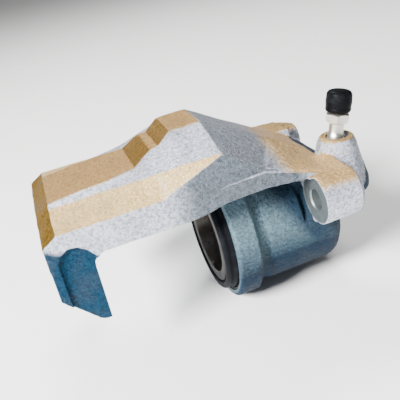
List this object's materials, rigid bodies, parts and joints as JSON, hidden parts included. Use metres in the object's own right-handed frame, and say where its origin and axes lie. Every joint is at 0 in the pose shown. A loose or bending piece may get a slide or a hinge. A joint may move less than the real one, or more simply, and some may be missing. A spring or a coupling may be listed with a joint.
{
  "type": "brake caliper",
  "caption": "Floating brake caliper: cast housing with claw, bridge, cylinder and guide-pin ears, holding a sliding piston, seal, dust boot and bleeder screw with cap.",
  "frame": {"origin": "midway between the two guide-pin holes, in the plane of the machined outboard faces of the ears", "axes": "+X inboard along the piston axis, +Y across the caliper towards the ear away from the bleeder screw, +Z outward from the wheel hub towards the bridge"},
  "size_m": [0.1532, 0.0974, 0.096],
  "materials": {
    "plated_casting": "bright zinc plating on a rough casting",
    "piston_steel": "dark, oiled",
    "seal_rubber": "smooth",
    "boot_rubber": "matt",
    "ring_steel": "darkened spring steel",
    "bleeder_steel": "zinc plated",
    "cap_rubber": "slightly glossy"
  },
  "bodies": {
    "housing_body": {"caliper_housing": "plated_casting", "piston_seal": "seal_rubber", "dust_boot": "boot_rubber", "boot_retaining_ring": "ring_steel"},
    "piston_body": {"piston": "piston_steel"},
    "bleeder_body": {"bleeder_screw": "bleeder_steel"},
    "cap_body": {"bleeder_cap": "cap_rubber"}
  },
  "joints": [
    {"name": "piston_slide", "type": "slide", "parent": "housing_body", "child": "piston_body", "axis": [-1, 0, 0], "range_m": [-0.0015, 0.015], "deforming": ["dust_boot"]},
    {"name": "bleeder_turn", "type": "hinge", "parent": "housing_body", "child": "bleeder_body", "pos_m": [0.0232, -0.018, 0.0181], "axis": [0.1908, 0, 0.9816], "range_deg": [0, 270]},
    {"name": "cap_pull", "type": "slide", "parent": "bleeder_body", "child": "cap_body", "axis": [0.1908, 0, 0.9816], "range_m": [0, 0.01]}
  ]
}
